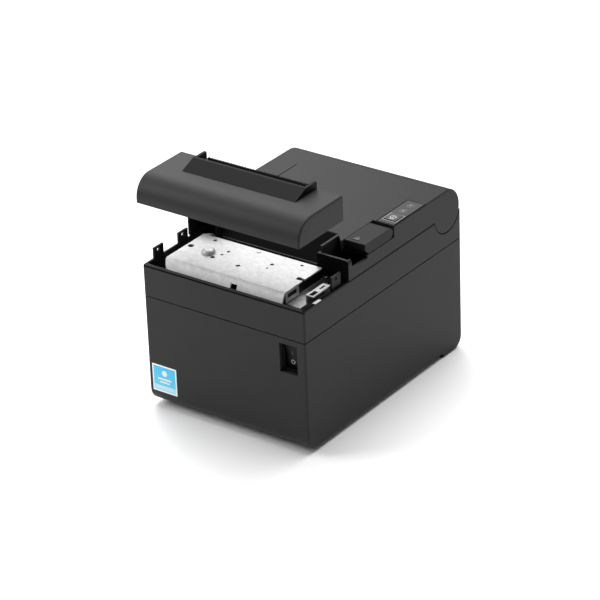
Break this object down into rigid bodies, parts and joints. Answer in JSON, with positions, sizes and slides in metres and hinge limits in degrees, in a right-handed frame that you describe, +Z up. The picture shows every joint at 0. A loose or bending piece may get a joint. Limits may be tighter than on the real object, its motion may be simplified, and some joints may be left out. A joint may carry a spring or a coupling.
{
  "type": "receipt printer",
  "caption": "Box-shaped desktop receipt printer with a hinged paper cover, a lift-off front cover over its cutter, a release lever, a rocker switch and a rear cable dock.",
  "frame": {"origin": "under the middle of the object's box, on the surface it stands on", "axes": "+Z up, front towards -Y, +X to the right seen from the front"},
  "size_m": [0.145, 0.206, 0.1942],
  "materials": {
    "case_plastic": "fine moulded grain",
    "cover_plastic": "fine moulded grain",
    "dark_plastic": "smooth",
    "panel_plastic": "satin",
    "button_plastic": "satin",
    "lens": "clear",
    "switch_plastic": "glossy",
    "label_film": "printed",
    "foot_rubber": "matt",
    "roller_rubber": "ground",
    "bright_steel": "zinc plated",
    "blade_steel": "ground",
    "screw_steel": "plated",
    "motor_steel": "plated",
    "heat_sink": "bare",
    "ceramic": "glazed",
    "gear_plastic": "natural acetal",
    "bush_plastic": "smooth",
    "board": "solder mask",
    "socket_plastic": "smooth",
    "socket_steel": "plated"
  },
  "bodies": {
    "case": {"lower_case": "case_plastic", "upper_case": "case_plastic", "cover_tabs": "dark_plastic", "power_switch_body": "switch_plastic", "front_label": "label_film", "rubber_feet": "foot_rubber", "case_screws": "screw_steel", "hinge_pins": "screw_steel", "earth_clip": "bright_steel", "paper_bucket": "dark_plastic", "mechanism_frame": "bright_steel", "mechanism_screws": "screw_steel", "head_spring": "blade_steel", "feed_motor": "motor_steel", "idler_post": "screw_steel", "cutter_tray": "bright_steel", "cutter_cover_plate": "bright_steel", "cutter_motor": "motor_steel", "side_bracket": "bright_steel", "main_board": "board", "power_inlet": "socket_plastic", "drawer_port": "socket_plastic", "usb_port": "socket_steel", "network_port": "socket_steel"},
    "paper_cover": {"paper_cover": "cover_plastic", "lever_pin": "screw_steel", "control_panel": "panel_plastic", "lamp_lenses": "lens", "platen_bushes": "bush_plastic", "fixed_blade": "blade_steel"},
    "release_lever": {"cover_release_lever": "cover_plastic"},
    "feed_button": {"feed_button": "button_plastic"},
    "platen": {"platen_roller": "roller_rubber", "platen_shaft": "blade_steel", "platen_gear": "gear_plastic"},
    "front_cover": {"front_cover": "cover_plastic", "paper_exit_guide": "dark_plastic", "tear_bar": "dark_plastic"},
    "motor_rotor": {"motor_shaft": "blade_steel", "motor_pinion": "gear_plastic"},
    "idler": {"idler_gear": "gear_plastic"},
    "moving_blade": {"moving_blade": "blade_steel"},
    "cutter_drive": {"cutter_pinion": "blade_steel"},
    "print_head": {"head_heat_sink": "heat_sink", "thermal_head": "ceramic"},
    "power_rocker": {"power_rocker": "switch_plastic"}
  },
  "joints": [
    {"name": "paper_cover_hinge", "type": "hinge", "parent": "case", "child": "paper_cover", "pos_m": [0, 0.0846, 0.1213], "axis": [-1, 0, 0], "range_deg": [0, 100]},
    {"name": "release_lever_hinge", "type": "hinge", "parent": "paper_cover", "child": "release_lever", "pos_m": [0.062, 0.0085, 0.13405], "axis": [-1, 0, 0], "range_deg": [0, 25], "stiffness_Nm_per_rad": 0.02},
    {"name": "feed_button_press", "type": "slide", "parent": "paper_cover", "child": "feed_button", "axis": [0, 0, -1], "range_m": [0, 0.0008], "stiffness_N_per_m": 300},
    {"name": "platen_spin", "type": "hinge", "parent": "paper_cover", "child": "platen", "pos_m": [0, -0.036, 0.109], "axis": [1, 0, 0], "continuous": true},
    {"name": "front_cover_lift", "type": "slide", "parent": "case", "child": "front_cover", "axis": [0, -0.0594, 0.9982], "range_m": [-0.05049, 0]},
    {"name": "motor_spin", "type": "hinge", "parent": "case", "child": "motor_rotor", "pos_m": [-0.061, -0.065, 0.082], "axis": [1, 0, 0], "continuous": true},
    {"name": "idler_spin", "type": "hinge", "parent": "case", "child": "idler", "pos_m": [-0.061, -0.05201, 0.09409], "axis": [1, 0, 0], "continuous": true},
    {"name": "blade_slide", "type": "slide", "parent": "case", "child": "moving_blade", "axis": [0, 1, 0], "range_m": [0, 0.006]},
    {"name": "cutter_pinion_spin", "type": "hinge", "parent": "case", "child": "cutter_drive", "pos_m": [0.0359, -0.07, 0.1187], "axis": [0, 0, -1], "range_deg": [0, 68.8]},
    {"name": "print_head_tilt", "type": "hinge", "parent": "case", "child": "print_head", "pos_m": [0, -0.04725, 0.102], "axis": [1, 0, 0], "range_deg": [0, 2.5], "stiffness_Nm_per_rad": 1, "springref_deg": -1.72},
    {"name": "power_rocker_tilt", "type": "hinge", "parent": "case", "child": "power_rocker", "pos_m": [0.05735, -0.0934, 0.076], "axis": [-1, 0, 0], "range_deg": [0, 17]}
  ],
  "couplings": [
    {"joint": "motor_spin", "follows": "platen_spin", "ratio": 1.8333},
    {"joint": "idler_spin", "follows": "platen_spin", "ratio": -0.70968},
    {"joint": "cutter_pinion_spin", "follows": "blade_slide", "rad_per_m": 200}
  ]
}
